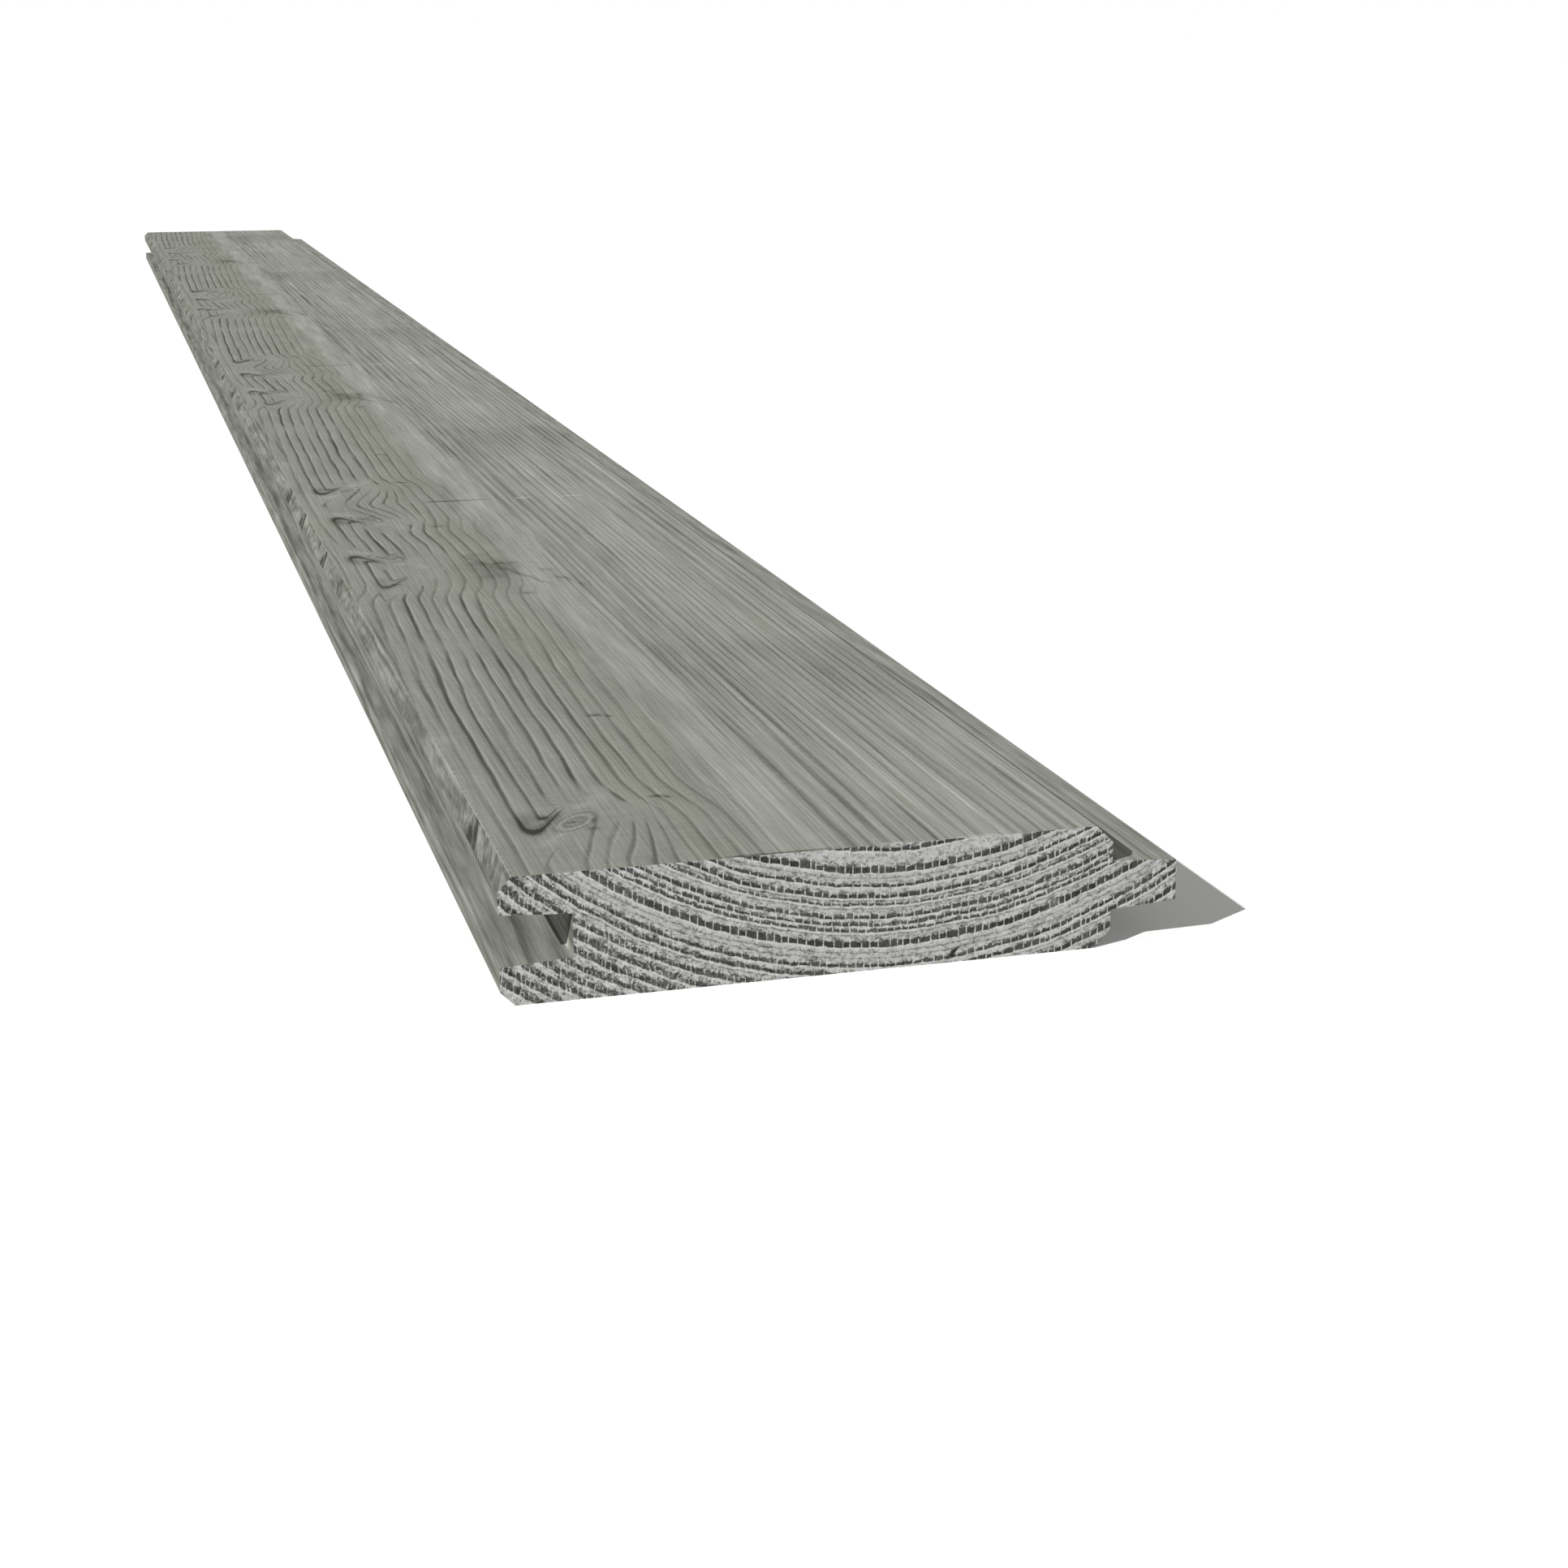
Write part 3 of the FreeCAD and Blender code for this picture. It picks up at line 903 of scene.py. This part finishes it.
late = (late * patches * (1.0 - gaps) * (1.0 - holes)).at_most(1.0)
end_tone = early + (dark - early) * late
# A small drying check, near the underside: a wedge with a thin tail.
check = x.spot(z, (95.0, 1.9), (1.0, 0.45), 70) + x.spot(z, (95.8, 2.8), (1.0, 0.25), 42)
end_tone = end_tone - check * 0.7
stained(end_tone, END_SHADES, clumps * 0.25, end_shader)
raised(grain * 0.02, end_shader)

sweeper = bpy.data.objects.new("board_sweep", section)
bpy.context.scene.collection.objects.link(sweeper)
sweep = sweeper.modifiers.new("planed_board", "NODES")
sweep.node_group = tree
sweep[length_input.identifier] = BOARD_LENGTH * MILLIMETRE
sweep[stations_input.identifier] = STATIONS
sweep[relief_input.identifier] = GRAIN_RELIEF * MILLIMETRE
sweep[long_grain_input.identifier] = long_grain
sweep[end_grain_input.identifier] = end_grain
board_mesh = bpy.data.meshes.new_from_object(sweeper.evaluated_get(bpy.context.evaluated_depsgraph_get()))
bpy.data.objects.remove(sweeper)

# The shell is one closed skin with its faces outwards, and its arrises stay crisp.
CRISP_ANGLE = math.radians(35.0)
skin = bmesh.new()
skin.from_mesh(board_mesh)
bmesh.ops.recalc_face_normals(skin, faces=skin.faces)
skin.to_mesh(board_mesh)
skin.free()
board_mesh.shade_smooth()
board_mesh.set_sharp_from_angle(angle=CRISP_ANGLE)

# A flat layout for baked maps, in pixels of a square page. The face takes the most room, then the other
# three sides, each unrolled round the section in two lengths side by side. The sawn ends lie above them.
PAGE = 1024
PAGE_GAP = 4
LENGTH_ON_PAGE = 896
SIDE_WIDTHS = {"face": 290, "underside": 78, "groove_side": 64, "tongue_side": 64}
END_ON_PAGE = (500, 100)
SKIN_DEPTH = 0.15
perimeter = 0.0
girths = []
for point, following in zip(outline, outline[1:] + outline[:1]):
    girths.append(perimeter)
    perimeter += (following - point).length
outline_places = KDTree(len(outline))
for index, point in enumerate(outline):
    outline_places.insert((point.x, point.y, 0.0), index)
outline_places.balance()
vertex_places = [(vertex.co - board_low) / MILLIMETRE for vertex in board_mesh.vertices]
vertex_girths = [girths[outline_places.find((place.x, place.z, 0.0))[1]] for place in vertex_places]


def side_of_board(face):
    """Which side of the board a face of the mesh belongs to."""
    place = (face.center - board_low) / MILLIMETRE
    if abs(face.normal.y) > SQUARE_ON:
        return "end"
    if place.z > BOARD_THICKNESS - SKIN_DEPTH and face.normal.z > SQUARE_ON:
        return "face"
    if place.z < SKIN_DEPTH and face.normal.z < -SQUARE_ON:
        return "underside"
    return "groove_side" if place.x < BOARD_WIDTH / 2 else "tongue_side"


def girth_on_side(side, vertex):
    """How far round the section a corner lies. The groove's side goes on past the outline's first point."""
    girth = vertex_girths[vertex]
    return girth - perimeter if side == "groove_side" and girth > perimeter / 2 else girth


sides = [side_of_board(face) for face in board_mesh.polygons]
spans = {}
for side, face in zip(sides, board_mesh.polygons):
    corner_girths = [girth_on_side(side, vertex) for vertex in face.vertices]
    low, high = spans.get(side, (corner_girths[0], corner_girths[0]))
    spans[side] = (min(low, *corner_girths), max(high, *corner_girths))
page_starts = {}
page_place = PAGE_GAP
for side, width in SIDE_WIDTHS.items():
    for half in (0, 1):
        page_starts[side, half] = page_place
        page_place += width + PAGE_GAP
layout = board_mesh.uv_layers.new(name="OFBake")
for side, face in zip(sides, board_mesh.polygons):
    half = 1 if face.center.y > 0 else 0
    for loop, vertex in zip(face.loop_indices, face.vertices):
        place = vertex_places[vertex]
        if side == "end":
            across = PAGE_GAP + half * (END_ON_PAGE[0] + PAGE_GAP) + place.x / BOARD_WIDTH * END_ON_PAGE[0]
            up = LENGTH_ON_PAGE + 3 * PAGE_GAP + place.z / BOARD_THICKNESS * END_ON_PAGE[1]
        else:
            low, high = spans[side]
            share = (girth_on_side(side, vertex) - low) / (high - low)
            across = page_starts[side, half] + share * SIDE_WIDTHS[side]
            up = PAGE_GAP + (place.y / BOARD_LENGTH * 2 - half) * LENGTH_ON_PAGE
        layout.data[loop].uv = (across / PAGE, up / PAGE)

board = bpy.data.objects.new("softwood_board", board_mesh)
bpy.context.scene.collection.objects.link(board)
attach(board, "root")
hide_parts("board")

# The floor: a plain pale studio floor, white to the camera, that keeps the board's shadow. It sends back
# less light than it shows, so that the groove and the edges stay as dark as they are in the open.
FLOOR_REACH = 80.0
FLOOR_BOUNCE = (0.3, 0.3, 0.3, 1.0)
SHOWN_WHITE = (1.0, 1.0, 1.0, 1.0)
floor_mesh = bpy.data.meshes.new("studio_floor")
floor_corners = [
    (-FLOOR_REACH, -FLOOR_REACH, 0.0),
    (FLOOR_REACH, -FLOOR_REACH, 0.0),
    (FLOOR_REACH, FLOOR_REACH, 0.0),
    (-FLOOR_REACH, FLOOR_REACH, 0.0),
]
floor_mesh.from_pydata(floor_corners, [], [(0, 1, 2, 3)])
floor = bpy.data.objects.new("studio_floor", floor_mesh)
bpy.context.scene.collection.objects.link(floor)


def shown_to_viewer(tree):
    """1 for what the camera sees, straight, mirrored or through glass, and 0 for light on its way."""
    light_path = tree.nodes.new("ShaderNodeLightPath")
    shown = Field(tree, light_path.outputs["Is Camera Ray"])
    for kind in ("Is Glossy Ray", "Is Transmission Ray"):
        shown = shown.at_least(Field(tree, light_path.outputs[kind]))
    return shown


floor_paint = bpy.data.materials.new("pale_floor")
floor_paint.use_nodes = True
floor_shader = floor_paint.node_tree.nodes["Principled BSDF"]
floor_shader.inputs["Roughness"].default_value = 1.0
floor_shader.inputs["Specular IOR Level"].default_value = 0.0
shown = shown_to_viewer(floor_paint.node_tree)
floor_colour = shown.grow("ShaderNodeMix", data_type="RGBA")
shown.feed(floor_colour.inputs["Factor"], shown)
floor_colour.inputs["A"].default_value = FLOOR_BOUNCE
floor_colour.inputs["B"].default_value = SHOWN_WHITE
floor_paint.node_tree.links.new(floor_colour.outputs["Result"], floor_shader.inputs["Base Color"])
floor_mesh.materials.append(floor_paint)

# The light: an even pale sky, one sun low at the left on the viewer's side, and a weak lamp behind the
# viewer that casts no shadow, so that the shadow on the floor is evenly grey.
SKY_LEVEL = 0.16
SKY_COLOUR = (1.0, 1.0, 0.92, 1.0)
SUN_FROM = Vector((-1.33, -0.79, 1.0))
SUN_SHARE = 0.75
FILL_FROM = Vector((-0.2, -0.7, 0.7))
FILL_SHARE = 0.14
LAMP_SPREAD = math.radians(0.8)
world = bpy.data.worlds.new("pale_sky")
bpy.context.scene.world = world
world.use_nodes = True
sky = world.node_tree.nodes["Background"]
shown = shown_to_viewer(world.node_tree)
sky_colour = shown.grow("ShaderNodeMix", data_type="RGBA")
shown.feed(sky_colour.inputs["Factor"], shown)
sky_colour.inputs["A"].default_value = SKY_COLOUR
sky_colour.inputs["B"].default_value = SHOWN_WHITE
world.node_tree.links.new(sky_colour.outputs["Result"], sky.inputs["Color"])
level = shown * (1.0 - SKY_LEVEL) + SKY_LEVEL
level.feed(sky.inputs["Strength"], level)

for name, lamp_from, share, casts_shadow in (
    ("sun", SUN_FROM, SUN_SHARE, True),
    ("fill", FILL_FROM, FILL_SHARE, False),
):
    lamp = bpy.data.lights.new(name, "SUN")
    lamp.energy = share * math.pi / lamp_from.normalized().z
    lamp.angle = LAMP_SPREAD
    lamp.use_shadow = casts_shadow
    lamp_object = bpy.data.objects.new(name, lamp)
    lamp_object.rotation_euler = lamp_from.to_track_quat("Z", "Y").to_euler()
    bpy.context.scene.collection.objects.link(lamp_object)

# The camera: low beyond the near end and to the left of it, looking along the board and down. Its place is
# in metres and its angles are in degrees, fitted to the outlines of the near end and of the long edges.
CAMERA_PLACE = (-0.14412, -1.46001, 0.18031)
CAMERA_DOWN = 16.183
CAMERA_ASIDE = 15.792
CAMERA_VIEW = 35.0
camera_data = bpy.data.cameras.new("camera")
camera_data.sensor_width = 36.0
camera_data.angle = math.radians(CAMERA_VIEW)
camera_data.clip_start = 0.01
camera_data.clip_end = 400.0
camera = bpy.data.objects.new("camera", camera_data)
camera.location = CAMERA_PLACE
camera.rotation_euler = (math.radians(90.0 - CAMERA_DOWN), 0.0, math.radians(-CAMERA_ASIDE))
bpy.context.scene.collection.objects.link(camera)
bpy.context.scene.camera = camera
bpy.context.scene.view_settings.view_transform = "Standard"
